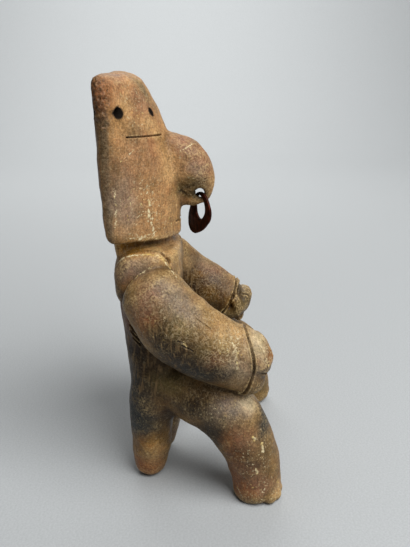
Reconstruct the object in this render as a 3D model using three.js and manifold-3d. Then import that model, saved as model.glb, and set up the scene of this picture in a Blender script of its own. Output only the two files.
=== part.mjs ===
// A small hand-modelled earthenware figure, seated, with a drop-shaped metal ring hanging in its pierced nose.
// Millimetres, +Z up. The figure faces -Y, its right side is -X, and it stands on z = 0.
import * as THREE from "three";
import { mergeVertices } from "three/addons/utils/BufferGeometryUtils.js";
import Module from "manifold-3d";

const wasm = await Module();
wasm.setup();

// Driving dimensions. Sideways places are measured from the figure's own middle.
const HEIGHT = 200;
const HEAD_HALF_WIDTH = 36;
const HEAD_UNDERSIDE = 127;
const SHOULDER_HALF_WIDTH = 34;
const WRIST_HEIGHT = 76;
const HIP_HEIGHT = 58;
const NEAR_FOOT_OUT = 34;
const FAR_FOOT_OUT = 47;
const EAR_HOLE = { out: 32, z: 184.8, radius: 2.6 };
const BROW_HOLE = { out: 12, z: 184, radius: 2.3 };
const NOSE_HOLE = new THREE.Vector3(0, -1, 147);
const RING_TURN = THREE.MathUtils.degToRad(33);
const MIDDLE = new THREE.Vector2(-3.7, 1.35);

// How round the bow of the face and how square the back of the head are, as powers of a superellipse.
const FACE_BOW = 1.8;
const BACK_SQUARENESS = 4;

// Where the figure's upright back lies behind the origin of its own axes.
const BACK_Y = 42;

// A closed mesh from rings of equal length, drawn from one end to the other and closed at both.
function skinOf(rings) {
  const count = rings[0].length;
  const points = rings.flat();
  const faces = [];
  for (let r = 0; r + 1 < rings.length; r++)
    for (let i = 0; i < count; i++) {
      const a = r * count + i;
      const b = r * count + ((i + 1) % count);
      faces.push(a, b, b + count, a, b + count, a + count);
    }
  for (const [ring, turned] of [[0, true], [rings.length - 1, false]]) {
    const middle = rings[ring].reduce((sum, p) => sum.add(p), new THREE.Vector3()).divideScalar(count);
    const hub = points.push(middle) - 1;
    for (let i = 0; i < count; i++) {
      const a = ring * count + i;
      const b = ring * count + ((i + 1) % count);
      faces.push(...(turned ? [hub, b, a] : [hub, a, b]));
    }
  }
  return new THREE.BufferGeometry().setFromPoints(points).setIndex(faces);
}

// The geometry as a solid that can be joined and cut.
function solid(geometry) {
  geometry.deleteAttribute("normal");
  geometry.deleteAttribute("uv");
  const merged = mergeVertices(geometry, 1e-4);
  return new wasm.Manifold(
    new wasm.Mesh({
      numProp: 3,
      vertProperties: merged.attributes.position.array,
      triVerts: new Uint32Array(merged.index.array),
    }),
  );
}

// The solid back as a geometry.
function geometryOf(made) {
  const { vertProperties, triVerts } = made.getMesh();
  const geometry = new THREE.BufferGeometry();
  geometry.setAttribute("position", new THREE.BufferAttribute(new Float32Array(vertProperties), 3));
  geometry.setIndex(new THREE.BufferAttribute(new Uint32Array(triVerts), 1));
  geometry.computeVertexNormals();
  return geometry;
}

// An ellipsoid of clay at a place, tipped about X.
function lump(at, radii, tip = 0, sides = 20, bands = 14) {
  return solid(
    new THREE.SphereGeometry(1, sides, bands)
      .scale(...radii)
      .rotateX(tip)
      .translate(...at),
  );
}

// A tapering roll of clay along a curve. Each station is [x, y, z, sideways radius, radius in the side view],
// and each end is rounded over by a share of its radius.
function roll(stations, { sides = 20, steps = 14, startRound = 1, endRound = 1, capRings = 3 } = {}) {
  const path = new THREE.CatmullRomCurve3(stations.map((s) => new THREE.Vector3(s[0], s[1], s[2])));
  const sizes = new THREE.CatmullRomCurve3(stations.map((s) => new THREE.Vector3(s[3], s[4], 0)));
  const rings = [];
  const ringAt = (t, share, shift) => {
    const along = path.getTangent(t);
    const side = new THREE.Vector3(1, 0, 0).addScaledVector(along, -along.x).normalize();
    const up = new THREE.Vector3().crossVectors(along, side);
    const size = sizes.getPoint(t);
    const centre = path.getPoint(t).addScaledVector(along, shift * Math.min(size.x, size.y));
    return Array.from({ length: sides }, (_, i) => {
      const angle = (2 * Math.PI * i) / sides;
      return centre
        .clone()
        .addScaledVector(side, size.x * share * Math.cos(angle))
        .addScaledVector(up, size.y * share * Math.sin(angle));
    });
  };
  const capAngles = Array.from({ length: capRings }, (_, i) => ((i + 0.5) / (capRings + 0.5)) * (Math.PI / 2));
  if (startRound > 0)
    for (const angle of capAngles) rings.push(ringAt(0, Math.sin(angle), -startRound * Math.cos(angle)));
  for (let i = 0; i <= steps; i++) rings.push(ringAt(i / steps, 1, 0));
  if (endRound > 0)
    for (const angle of [...capAngles].reverse()) rings.push(ringAt(1, Math.sin(angle), endRound * Math.cos(angle)));
  return solid(skinOf(rings));
}

// The plan of the slab head: a bowed front, soft side edges and a squared back. "slope" lifts it towards the back.
function headRing({ z, wide, front, edge, back, slope }) {
  const level = (y) => z + slope * (y - 25);
  const steps = 26;
  const ring = [];
  for (let i = 0; i < steps; i++) {
    const s = Math.cos((Math.PI * i) / steps);
    const y = edge - (edge - front) * (1 - Math.abs(s) ** FACE_BOW);
    ring.push(new THREE.Vector3(-wide * s, y, level(y)));
  }
  const backSteps = 14;
  for (let i = 0; i < backSteps; i++) {
    const angle = (Math.PI * i) / backSteps;
    const s = Math.sign(Math.cos(angle)) * Math.abs(Math.cos(angle)) ** (2 / BACK_SQUARENESS);
    const y = edge + (back - edge) * Math.abs(Math.sin(angle)) ** (2 / BACK_SQUARENESS);
    ring.push(new THREE.Vector3(wide * s, y, level(y)));
  }
  return ring;
}

function head() {
  const w = HEAD_HALF_WIDTH;
  const levels = [
    { z: HEAD_UNDERSIDE, wide: w - 2.5, front: 10, edge: 34.4, back: 37.6, slope: 0.26 },
    { z: HEAD_UNDERSIDE + 1, wide: w - 0.8, front: 8.4, edge: 35.2, back: 38.8, slope: 0.26 },
    { z: HEAD_UNDERSIDE + 4, wide: w, front: 7.8, edge: 35.6, back: 39.8, slope: 0.24 },
    { z: 143, wide: w, front: 7.9, edge: 35.8, back: 41, slope: 0.16 },
    { z: 155, wide: w - 0.3, front: 8.3, edge: 36, back: 42, slope: 0.1 },
    { z: 164, wide: w - 0.6, front: 10, edge: 36.1, back: 42.2, slope: 0.05 },
    { z: 173, wide: w - 0.8, front: 13.2, edge: 36.2, back: 42.3, slope: 0.02 },
    { z: 180, wide: w - 0.8, front: 16.2, edge: 36.3, back: 42.5, slope: 0 },
    { z: 187, wide: w - 1, front: 19.2, edge: 36.5, back: 42.8, slope: 0 },
    { z: HEIGHT - 7, wide: w - 1.2, front: 21.8, edge: 36.7, back: 43, slope: 0 },
    { z: HEIGHT - 3, wide: w - 1.8, front: 24.6, edge: 37, back: 43, slope: 0 },
    { z: HEIGHT - 1, wide: w - 3.2, front: 28, edge: 37.4, back: 42.2, slope: 0 },
    { z: HEIGHT, wide: w - 5.5, front: 32, edge: 37.8, back: 40.8, slope: 0 },
  ];
  return solid(skinOf(levels.map(headRing)));
}

// A bulbous nose that narrows to a thin bridge of clay under the hole for the ring.
function nose() {
  const levels = [
    [176, 3, 13.4, 18],
    [174.4, 5.4, 9.6, 18],
    [172.2, 7, 4.4, 18],
    [169.4, 8.3, 0, 18],
    [165, 9.4, -4, 18],
    [160, 10, -6.6, 18],
    [154.6, 9.8, -7.8, 18],
    [150.2, 6.8, -8, 17],
    [147, 3.8, -7.2, 15],
    [144.4, 1.9, -6, 13],
    [142, 1.6, -4.2, 11.5],
    [140.6, 1.3, -2.4, 10.5],
    [140, 0.8, 0, 9.5],
  ];
  const sides = 20;
  const rings = levels.map(([z, wide, front, back]) =>
    Array.from({ length: sides }, (_, i) => {
      const angle = (2 * Math.PI * i) / sides;
      const y = (front + back) / 2 - ((back - front) / 2) * Math.cos(angle);
      return new THREE.Vector3(wide * Math.sin(angle), y, z);
    }),
  );
  const hole = [-3, -0.4, 0.4, 3].map((share) => {
    const radius = Math.abs(share) > 2 ? 5 : 2.6;
    return Array.from({ length: 16 }, (_, i) => {
      const angle = (2 * Math.PI * i) / 16;
      return new THREE.Vector3(
        share * 3,
        NOSE_HOLE.y + radius * Math.cos(angle),
        NOSE_HOLE.z + radius * Math.sin(angle),
      );
    });
  });
  return solid(skinOf(rings.reverse())).subtract(solid(skinOf(hole)));
}

// A level oval section of the trunk or neck, from its front to its back.
function ovalRing(z, wide, front, back, squareness) {
  const sides = 28;
  const share = 2 / squareness;
  return Array.from({ length: sides }, (_, i) => {
    const angle = (2 * Math.PI * i) / sides;
    const c = Math.cos(angle);
    const s = Math.sin(angle);
    return new THREE.Vector3(
      Math.sign(c) * Math.abs(c) ** share * wide,
      (front + back) / 2 + (Math.sign(s) * Math.abs(s) ** share * (back - front)) / 2,
      z,
    );
  });
}

function neck() {
  const levels = [
    { z: 112, wide: 27, front: 11.5, edge: 33, back: 37.4, slope: 0 },
    { z: 121, wide: 28, front: 11, edge: 34, back: 38, slope: 0.1 },
    { z: 131, wide: 30, front: 11, edge: 34.5, back: 38.8, slope: 0.2 },
  ];
  return solid(skinOf(levels.map(headRing)));
}

function trunk() {
  const levels = [
    [40.5, 20, 9, 29],
    [42, 26, 5.5, 31.5],
    [46, 30, 3, 33.2],
    [52, 32, 1.8, 34],
    [60, 31, 2.6, 34.6],
    [70, 29, 4.2, 34.3],
    [80, 27.5, 5.4, 34.4],
    [90, 27, 6.4, 34.8],
    [100, 27.5, 7.2, 35],
    [110, 28, 7.3, 35.6],
    [116.5, 27.5, 7.6, 36],
    [119.6, 26.4, 8.6, 35.6],
    [120.8, 24.4, 10.4, 34.6],
  ];
  return solid(skinOf(levels.map(([z, wide, front, back]) => ovalRing(z, wide, front, back, 2.7))));
}

// One arm, its grooved wrist and its fist, on the side given by out: -1 right, 1 left.
// The whole arm may sit lower by "drop" and end further back by "pull"; "grip" scales the fist.
function arm(out, { drop, pull, grip }) {
  const x = (share) => out * SHOULDER_HALF_WIDTH * share;
  const tube = roll(
    [
      [x(0.97), 17, 106 - drop, 14.5, 15.6],
      [x(1.05), 8.7, 93.6 - drop, 14.5, 16.9],
      [x(1.07), -3.4 + pull / 2, 84.4 - drop, 14, 16.3],
      [x(1.04), -16.5 + pull, WRIST_HEIGHT + 1.6 - drop, 13.2, 15],
      [x(1.02), -23.5 + pull, WRIST_HEIGHT - 0.4 - drop, 12, 14],
    ],
    { sides: 20, steps: 9, startRound: 0.95, endRound: 0.25 },
  );
  const wrist = new THREE.Vector3(x(1.02), -22.4 + pull, WRIST_HEIGHT - 0.2 - drop);
  const groove = solid(
    new THREE.TorusGeometry(1, 0.085, 5, 20)
      .scale(13.2, 15.3, 13)
      .rotateX(Math.PI / 2 - 0.16)
      .translate(...wrist),
  );
  const fromWrist = (aside, ahead, rise) => [wrist.x + aside, wrist.y - ahead * grip, wrist.z + rise * grip];
  const palm = lump(fromWrist(0, 3.2, 0), [10.4, 6.8 * grip, 14 * grip], 0.1, 12, 9);
  const heel = lump(fromWrist(0, 2.6, -10.8), [9, 6.6 * grip, 7.6 * grip], 0.2, 10, 7);
  let hand = palm.add(heel);
  for (let finger = 0; finger < 4; finger++) {
    const aside = (finger - 1.5) * 5;
    const reach = finger === 0 || finger === 3 ? 0 : 0.7;
    const bent = [
      [...fromWrist(aside, 1, 11.6), 2.9, 3.1],
      [...fromWrist(aside, 6.8, 9.2), 3, 3.2],
      [...fromWrist(aside, 9.2 + reach, 2), 2.9, 3.1],
      [...fromWrist(aside, 8 + reach, -4), 2.7, 2.8],
    ];
    hand = hand.add(roll(bent, { sides: 7, steps: 4, capRings: 2 }));
  }
  const shoulder = lump([x(0.66), 26, 111.5], [15.5, 11, 14.4], 0, 16, 11);
  return tube.subtract(groove).add(hand).add(shoulder);
}

// One thick bent leg, from the hip over the knee to a foot rimmed with toes.
function frontLeg(out, footOut, forward) {
  const foot = [out * footOut, -29.6 - forward];
  const leg = roll(
    [
      [out * 19, 13, HIP_HEIGHT, 12, 13],
      [out * 27, -3, HIP_HEIGHT - 3, 13, 14.4],
      [out * (0.35 * footOut + 21), -13.5 - forward * 0.4, HIP_HEIGHT - 8.4, 13, 14.6],
      [out * (0.7 * footOut + 11), -20.8 - forward * 0.8, 38.3, 12.6, 14],
      [foot[0] - out, foot[1] + 2.2, 18, 11.8, 12.7],
      [foot[0], foot[1], 3, 10.6, 11],
      [foot[0], foot[1], 0, 9.4, 10],
    ],
    { sides: 18, steps: 11, startRound: 0.9, endRound: 0 },
  );
  let joined = leg;
  for (let toe = 0; toe < 5; toe++) {
    const angle = THREE.MathUtils.degToRad(-148 + toe * 29);
    const place = [foot[0] - out * 9 * Math.cos(angle), foot[1] + 9.6 * Math.sin(angle), 3.5];
    joined = joined.add(lump(place, [3, 3, 3.4], 0, 7, 5));
  }
  return joined;
}

// One straight rear leg that tapers to a small rounded tip, leaning forward and towards the other leg.
function rearLeg(x, forward, inward) {
  const tip = x + inward;
  return roll(
    [
      [x * 0.85, 21.5, 64, 9.6, 9.4],
      [x, 22.6, 48, 11, 11],
      [x + inward * 0.25, 23.2 - forward * 0.4, 36, 10.2, 10.3],
      [x + inward * 0.7, 23.6 - forward, 19, 9.3, 9.4],
      [tip, 24.2 - forward, 8, 8.2, 8.3],
      [tip, 24.6 - forward, 2.6, 6.6, 6.8],
      [tip, 24.8 - forward, 0, 4.4, 4.6],
    ],
    { sides: 14, steps: 9, startRound: 0.9, endRound: 0 },
  );
}

// A level round hole pushed through the slab head from front to back, a little taller than wide.
function headHole(side, { out, z, radius }) {
  const sides = 14;
  const ring = (y) =>
    Array.from({ length: sides }, (_, i) => {
      const angle = (2 * Math.PI * i) / sides;
      return new THREE.Vector3(side * out + radius * 0.9 * Math.cos(angle), y, z + radius * Math.sin(angle));
    });
  return solid(skinOf([ring(BACK_Y + 4), ring(10)]));
}

function clayFigure() {
  let body = trunk()
    .add(neck())
    .add(head())
    .add(nose())
    .add(arm(-1, { drop: 0, pull: 0, grip: 0.94 }))
    .add(arm(1, { drop: 2, pull: 3.5, grip: 0.76 }))
    .add(frontLeg(-1, NEAR_FOOT_OUT, 0))
    .add(frontLeg(1, FAR_FOOT_OUT, 3.5))
    .add(rearLeg(-21, 0, 6))
    .add(rearLeg(11, 5, 0));
  for (const side of [-1, 1]) {
    body = body.subtract(headHole(side, EAR_HOLE)).subtract(headHole(side, BROW_HOLE));
  }
  const ground = new THREE.BoxGeometry(200, 200, 10).translate(0, 0, -5);
  return body.subtract(solid(ground));
}

// The closed metal drop that hangs from the nose, a flat plate with an off-centre opening.
function noseRing() {
  const drop = new THREE.Shape();
  drop.moveTo(0, 0);
  drop.bezierCurveTo(4.4, 0, 9.2, -7.4, 9.3, -13);
  drop.bezierCurveTo(9.2, -17.6, 5.2, -20.6, 0, -20.6);
  drop.bezierCurveTo(-5.2, -20.6, -9.2, -17.6, -9.3, -13);
  drop.bezierCurveTo(-9.2, -7.4, -4.4, 0, 0, 0);
  const opening = new THREE.Path();
  opening.moveTo(0, -2.2);
  opening.bezierCurveTo(-3.6, -2.2, -4.5, -4.8, -4.2, -7.4);
  opening.bezierCurveTo(-4, -10, -1.8, -12.4, 0, -13);
  opening.bezierCurveTo(1.8, -12.4, 4, -10, 4.2, -7.4);
  opening.bezierCurveTo(4.5, -4.8, 3.6, -2.2, 0, -2.2);
  drop.holes.push(opening);
  const thickness = 1;
  return new THREE.ExtrudeGeometry(drop, { depth: thickness, bevelEnabled: false, curveSegments: 9 })
    .translate(0, 0, -thickness / 2)
    .rotateX(Math.PI / 2)
    .rotateZ(RING_TURN)
    .translate(NOSE_HOLE.x, NOSE_HOLE.y, NOSE_HOLE.z + 0.7);
}

const earthenware = new THREE.MeshStandardMaterial({ color: "#9a7652", roughness: 0.6, metalness: 0 });
const darkMetal = new THREE.MeshStandardMaterial({ color: "#2a120c", roughness: 0.45, metalness: 1 });

const figure = new THREE.Mesh(geometryOf(clayFigure()), earthenware);
figure.name = "clay_figure";

const ring = new THREE.Mesh(noseRing(), darkMetal);
ring.name = "nose_ring";

const group = new THREE.Group();
group.add(figure, ring);
group.position.set(MIDDLE.x, MIDDLE.y, 0);

export default group;
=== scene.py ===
import math

import bmesh
import bpy
import numpy as np
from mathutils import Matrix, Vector


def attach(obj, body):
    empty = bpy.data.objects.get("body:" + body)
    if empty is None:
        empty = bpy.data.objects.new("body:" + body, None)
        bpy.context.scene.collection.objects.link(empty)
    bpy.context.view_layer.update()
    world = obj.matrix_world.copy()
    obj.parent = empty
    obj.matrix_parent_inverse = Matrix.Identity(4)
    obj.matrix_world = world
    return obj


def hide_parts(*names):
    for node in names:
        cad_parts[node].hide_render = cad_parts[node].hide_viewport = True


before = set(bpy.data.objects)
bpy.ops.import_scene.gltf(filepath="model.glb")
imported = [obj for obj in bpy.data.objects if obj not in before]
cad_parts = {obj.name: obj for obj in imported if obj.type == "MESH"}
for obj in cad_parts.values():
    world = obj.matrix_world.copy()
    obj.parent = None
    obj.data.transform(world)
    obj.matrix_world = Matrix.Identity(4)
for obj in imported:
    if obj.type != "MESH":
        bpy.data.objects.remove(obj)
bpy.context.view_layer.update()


# The camera stands level with the top of the head on the figure's right, close by, and looks a little
# down along +X. The lens gives a 600 pixel focal length on a frame 547 pixels tall.
FIGURE_MIDDLE = Vector((-3.7, 1.35, 0.0))
CAMERA_PLACE = Vector((-280.0, -3.4, 207.3))
CAMERA_DIP = math.radians(20)

bpy.ops.object.camera_add(
    location=(CAMERA_PLACE + FIGURE_MIDDLE) * 0.001,
    rotation=(math.radians(90) - CAMERA_DIP, 0, math.radians(-90)),
)
camera = bpy.context.object
camera.name = "camera"
camera.data.sensor_fit = "AUTO"
camera.data.sensor_width = 36
camera.data.lens = 600 * 36 / 547
camera.data.clip_start = 0.01
camera.data.clip_end = 20
bpy.context.scene.camera = camera
bpy.context.scene.view_settings.view_transform = "Standard"


# The figure's trunk: a thick upright block of clay with rounded corners, narrowed at the waist and ending
# above in a ledge under the neck. Everything in clay starts as a separate lump and is joined further down.
# Places are in millimetres from the figure's own middle, on the floor under the chest.
def place(x, y, z):
    return (Vector((x, y, z)) + FIGURE_MIDDLE) * 0.001


def pick(test):
    """Selects the points of the piece being edited whose place, in millimetres, passes the test."""
    bpy.ops.mesh.select_all(action="DESELECT")
    mesh = bmesh.from_edit_mesh(bpy.context.edit_object.data)
    for point in mesh.verts:
        spot = point.co * 1000 - FIGURE_MIDDLE
        if test(spot):
            point.select = True
    mesh.select_flush(True)
    bmesh.update_edit_mesh(bpy.context.edit_object.data)


def start_editing():
    """Opens the active piece to editing, with all of it selected."""
    bpy.ops.object.mode_set(mode="EDIT")
    bpy.ops.mesh.select_all(action="SELECT")


def end_editing():
    """Turns every face of the piece being edited outwards and closes it."""
    bpy.ops.mesh.select_all(action="SELECT")
    bpy.ops.mesh.normals_make_consistent(inside=False)
    bpy.ops.object.mode_set(mode="OBJECT")


def build_up(name, outline, levels):
    """Extrudes a flat outline upwards. Each level is (height, half width, front, edge, back), and the
    outline's points are shares of the half width and of the way from the edge line to front or back."""
    z, wide, front, edge, back = levels[0]
    bpy.ops.object.select_all(action="DESELECT")
    bpy.ops.mesh.primitive_circle_add(vertices=len(outline), radius=0.01, fill_type="NGON", location=(0, 0, 0))
    piece = bpy.context.object
    piece.name = name
    for point, (across, along) in zip(piece.data.vertices, outline):
        depth = edge - front if along < 0 else back - edge
        point.co = place(across * wide, edge + along * depth, z)
    start_editing()
    for z2, wide2, front2, edge2, back2 in levels[1:]:
        bpy.ops.mesh.extrude_region_move(TRANSFORM_OT_translate={"value": (0, 0, (z2 - z) * 0.001)})
        bpy.ops.transform.resize(value=(wide2 / wide, 1, 1), center_override=place(0, edge, z2))
        for ahead, ratio in ((True, (edge2 - front2) / (edge - front)), (False, (back2 - edge2) / (back - edge))):
            pick(lambda p: abs(p.z - z2) < 0.01 and (p.y < edge - 0.01) == ahead)
            bpy.ops.transform.resize(value=(1, ratio, 1), center_override=place(0, edge, z2))
        pick(lambda p: abs(p.z - z2) < 0.01)
        bpy.ops.transform.translate(value=(0, (edge2 - edge) * 0.001, 0))
        z, wide, front, edge, back = z2, wide2, front2, edge2, back2
    end_editing()
    return piece


def power(value, exponent):
    return math.copysign(abs(value) ** exponent, value)


def boxy_outline(points, squareness):
    share = 2 / squareness
    turns = [2 * math.pi * i / points for i in range(points)]
    return [(power(math.cos(t), share), power(math.sin(t), share)) for t in turns]


trunk_levels = [
    (37, 20, 9, 29),
    (38.5, 26, 5.5, 31.5),
    (43, 30, 3, 33.4),
    (51, 32, 1.8, 34.2),
    (60, 31, 2.6, 34.8),
    (70, 29, 4.2, 35.8),
    (80, 27.5, 5.4, 37),
    (90, 27, 6.4, 38),
    (100, 27.5, 7.2, 38),
    (110, 28, 7.3, 36.8),
    (118.5, 27.5, 7.6, 36),
    (121.6, 26.4, 8.4, 35.6),
    (122.6, 24.4, 10.4, 34.6),
]
trunk = build_up(
    "trunk",
    boxy_outline(36, 2.7),
    [(z, wide, front, (front + back) / 2, back) for z, wide, front, back in trunk_levels],
)


# The slab head and its short neck: one thick tile of clay, bowed forward across the face and squared at the
# back, leaning back above the brow and cut off level below, where it overhangs the neck like a lip.
HEAD_UNDERSIDE = 129.4
HEAD_HALF_WIDTH = 36


def slab_outline():
    """The tile's plan: a bowed front from one side edge to the other, then the squared back."""
    bow = [math.cos(math.pi * i / 30) for i in range(30)]
    back = [math.pi * i / 16 for i in range(16)]
    return [(-s, -(1 - abs(s) ** 1.8)) for s in bow] + [
        (power(math.cos(t), 0.5), power(math.sin(t), 0.5)) for t in back
    ]


w = HEAD_HALF_WIDTH
head = build_up(
    "head",
    slab_outline(),
    [
        (HEAD_UNDERSIDE, w - 2, 9.4, 35, 37.8),
        (HEAD_UNDERSIDE + 0.8, w - 0.6, 8.2, 35.9, 39),
        (HEAD_UNDERSIDE + 3, w, 7.7, 36.4, 39.8),
        (143, w, 7.8, 36.8, 41),
        (155, w - 0.3, 8.2, 36.7, 42),
        (164, w - 0.6, 9.9, 36.5, 42.2),
        (173, w - 0.8, 13.2, 36.2, 42.3),
        (180, w - 0.8, 16.2, 36.3, 42.5),
        (187, w - 1, 19.2, 36.5, 42.8),
        (193, w - 1.2, 21.8, 36.7, 43),
        (197, w - 1.8, 24.6, 37, 43),
        (199, w - 3.2, 28, 37.4, 42.2),
        (200, w - 5.5, 32, 37.8, 40.8),
    ],
)
neck = build_up(
    "neck",
    slab_outline(),
    [(112, 24, 11.5, 33, 34.6), (119, 25.4, 11.2, 34, 37), (125, 26, 11.4, 34.3, 38.4), (133, 29, 12, 34.5, 38.8)],
)
# The underside of the head rises towards the back, and less and less so further up the face.
for piece in (head, neck):
    for point in piece.data.vertices:
        spot = point.co * 1000 - FIGURE_MIDDLE
        rise = 0.2 * max(0, min(1, (182 - spot.z) / 55)) ** 1.3 * max(0, min(1, (spot.z - 112) / 15))
        point.co.z += rise * (spot.y - 25) * 0.001


# The nose: a bulb of clay pressed onto the face. Its lower part is pinched to a thin wall that a ring
# hangs from.
nose_levels = [
    (140, 0.8, 0.4, 9.5),
    (140.6, 1.4, 0, 10.5),
    (141.4, 1.6, -3, 11),
    (142.4, 1.8, -4.6, 11.5),
    (144.4, 2.1, -6, 13),
    (147, 3.6, -7.2, 15),
    (149.6, 6, -7.9, 17),
    (152.4, 8.4, -8.1, 18),
    (155.6, 9.9, -7.8, 18),
    (160, 10.1, -6.7, 18),
    (165, 9.6, -4, 18),
    (169.4, 8.6, 0, 18),
    (171.8, 7.2, 4.2, 18),
    (173.4, 5.4, 8.6, 18),
    (174.2, 3, 12.4, 18),
]
nose = build_up(
    "nose",
    boxy_outline(24, 2.1),
    [(z, wide, front, (front + back) / 2, back) for z, wide, front, back in nose_levels],
)


# The limbs: each a roll of clay, bent and tapered between the palms and rounded over at its ends, flattened
# a little from side to side. The arms hang from rounded shoulder caps and reach down to the knees.
def clay_roll(name, stations, flatten=1.0, start=1.0, end=1.0):
    """A roll through stations (x, y, z, radius). start and end say how far each end is rounded out."""
    route = [Vector((x / flatten, y, z)) for x, y, z, _ in stations]
    girth = [radius for *_, radius in stations]
    rounding = [(0.985, 0.17), (0.9, 0.43), (0.74, 0.67), (0.5, 0.87)]
    first = (route[0] - route[1]).normalized()
    last = (route[-1] - route[-2]).normalized()
    points = [(route[0] + first * girth[0] * out * start, girth[0] * share) for out, share in rounding]
    points += list(zip(route, girth))
    points += [(route[-1] + last * girth[-1] * out * end, girth[-1] * share) for out, share in reversed(rounding)]
    bpy.ops.object.select_all(action="DESELECT")
    bpy.ops.curve.primitive_bezier_curve_add(location=(0, 0, 0))
    roll = bpy.context.object
    roll.name = name
    roll.data.bevel_depth = 0.001
    roll.data.bevel_resolution = 12
    roll.data.resolution_u = 8
    roll.data.use_fill_caps = True
    spline = roll.data.splines[0]
    spline.bezier_points.add(len(points) - 2)
    for knot, (spot, radius) in zip(spline.bezier_points, points):
        knot.handle_left_type = knot.handle_right_type = "AUTO"
        knot.co = (spot + Vector((FIGURE_MIDDLE.x / flatten, FIGURE_MIDDLE.y, 0))) * 0.001
        knot.radius = radius
    bpy.ops.object.convert(target="MESH")
    start_editing()
    bpy.ops.transform.resize(value=(flatten, 1, 1), center_override=(0, 0, 0))
    bpy.ops.mesh.remove_doubles(threshold=0.00001)
    end_editing()
    return bpy.context.object


def clay_ball(name, spot, radii, squareness=2.0):
    """A ball of clay pressed to three radii. A squareness above 2 flattens its sides towards a block."""
    bpy.ops.object.select_all(action="DESELECT")
    bpy.ops.mesh.primitive_uv_sphere_add(segments=36, ring_count=24, radius=1, location=(0, 0, 0))
    ball = bpy.context.object
    ball.name = name
    for point in ball.data.vertices:
        fit = sum(abs(part) ** squareness for part in point.co) ** (-1 / squareness)
        point.co = Vector(r * c * fit for r, c in zip(radii, point.co)) * 0.001 + place(*spot)
    return ball


SHOULDER_OUT = 34
WRIST_HEIGHT = 76


def arm(name, side, bends, wrist, dip, fingers, heel):
    """A limb along its bends, then a fist beyond the wrist, a mitten of curled fingers over the heel of the
    hand. side is -1 for the right arm and 1 for the left, dip is how far the fist points down, and the fist's
    stations are (ahead of the wrist, above it, radius)."""
    out = side * SHOULDER_OUT
    wrist = Vector((out * 1.02, *wrist))
    lumps = [
        clay_roll(
            name + "_arm",
            [(out * share, y, z, radius) for share, y, z, radius in bends] + [(*wrist, 14.2)],
            flatten=0.875,
            start=0.86,
            end=0.12,
        )
    ]
    forward = Vector((0, -math.cos(dip), -math.sin(dip)))
    up = Vector((0, -math.sin(dip), math.cos(dip)))

    def hand(aside, ahead, rise):
        return tuple(wrist + Vector((aside, 0, 0)) + forward * ahead + up * rise)

    for lump, stations in (("fingers", fingers), ("heel", heel)):
        girth = max(radius for *_, radius in stations)
        lumps.append(
            clay_roll(
                f"{name}_{lump}",
                [(*hand(0, ahead, rise), radius) for ahead, rise, radius in stations],
                flatten=12.2 / girth,
                start=0.9,
                end=0.8,
            )
        )
    thumb = [
        (*hand(-side * 8, -1, 7), 2.8),
        (*hand(-side * 10.2, 3.4, 5), 2.9),
        (*hand(-side * 9.8, 6.4, 0.6), 2.6),
    ]
    lumps.append(clay_roll(name + "_thumb", thumb))
    lumps.append(clay_ball(name + "_fingertip", hand(-side * 3, 9.6, -1.6), (5, 2.6, 3.6)))
    lumps.append(clay_ball(name + "_shoulder_cap", (side * 18.6, 25, 110.8), (12.6, 13.3, 14.7), 3.2))
    return lumps


arms = arm(
    "right",
    side=-1,
    bends=[(0.98, 18.4, 105.2, 15.3), (1.05, 9.4, 93.8, 17.2), (1.07, -3.4, 84.4, 16.3), (1.04, -16.5, 77.6, 15)],
    wrist=(-22, WRIST_HEIGHT),
    dip=0.1,
    fingers=[(2.2, 6.2, 7.4), (4.4, 1.4, 8.2), (5.2, -1, 6.8)],
    heel=[(0, -3, 9), (2.2, -8.4, 8.6)],
)
arms += arm(
    "left",
    side=1,
    bends=[(0.95, 17.5, 101, 15.4), (1.02, 7.4, 91, 15.4), (1.03, -3, 84.4, 14.9), (1.03, -11.5, 79.2, 14.2)],
    wrist=(-15.4, WRIST_HEIGHT + 0.6),
    dip=0.6,
    fingers=[(6, 9.2, 4.6), (6.4, 5, 5.8), (3.4, -2, 5.8)],
    heel=[(0, -3, 8), (1.8, -8, 7)],
)


# The legs: two thick bent rolls in front with a row of small toes pinched round each foot, and two short
# straight ones behind that prop the figure up like the back legs of a stool.
HIP_HEIGHT = 58


def front_leg(side, foot_out, forward, size, toe_height):
    name = "right" if side < 0 else "left"
    foot_x = side * foot_out
    foot_y = -29.6 - forward
    lumps = [
        clay_roll(
            name + "_front_leg",
            [
                (side * 19, 13, HIP_HEIGHT - 3, 14),
                (side * 27, -3, HIP_HEIGHT - 5.6, 15.6),
                (side * (0.35 * foot_out + 21), -13.5 - forward * 0.4, HIP_HEIGHT - 9.8, 15),
                (side * (0.7 * foot_out + 11), -20.8 - forward * 0.8, 38.3, 14.2),
                (foot_x - side, foot_y + 2.2, 18, 13 * size),
                (foot_x, foot_y, 3.4, 11.7 * size),
            ],
            flatten=0.92,
            start=0.9,
            end=0.4,
        )
    ]
    for toe in range(5):
        turn = math.radians(-142 + toe * 27)
        spot = (foot_x - side * 8.8 * size * math.cos(turn), foot_y + 9.4 * size * math.sin(turn), toe_height)
        lumps.append(clay_ball(f"{name}_toe_{toe}", spot, (3.2 * size, 3.2 * size, 4.2)))
    return lumps


def rear_leg(name, x, inward, knee, shin, foot, flatten=1.0):
    """knee, shin and foot are (place from front to back, radius) at three heights."""
    return clay_roll(
        name,
        [
            (x * 0.85, 21.5, 64, 9.8),
            (x, 22.8, 48, 11.6),
            (x + inward * 0.25, knee[0], 36, knee[1]),
            (x + inward * 0.7, shin[0], 19, shin[1]),
            (x + inward, foot[0], 8.6, foot[1]),
        ],
        flatten=flatten,
        start=0.9,
        end=1.0,
    )


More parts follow.
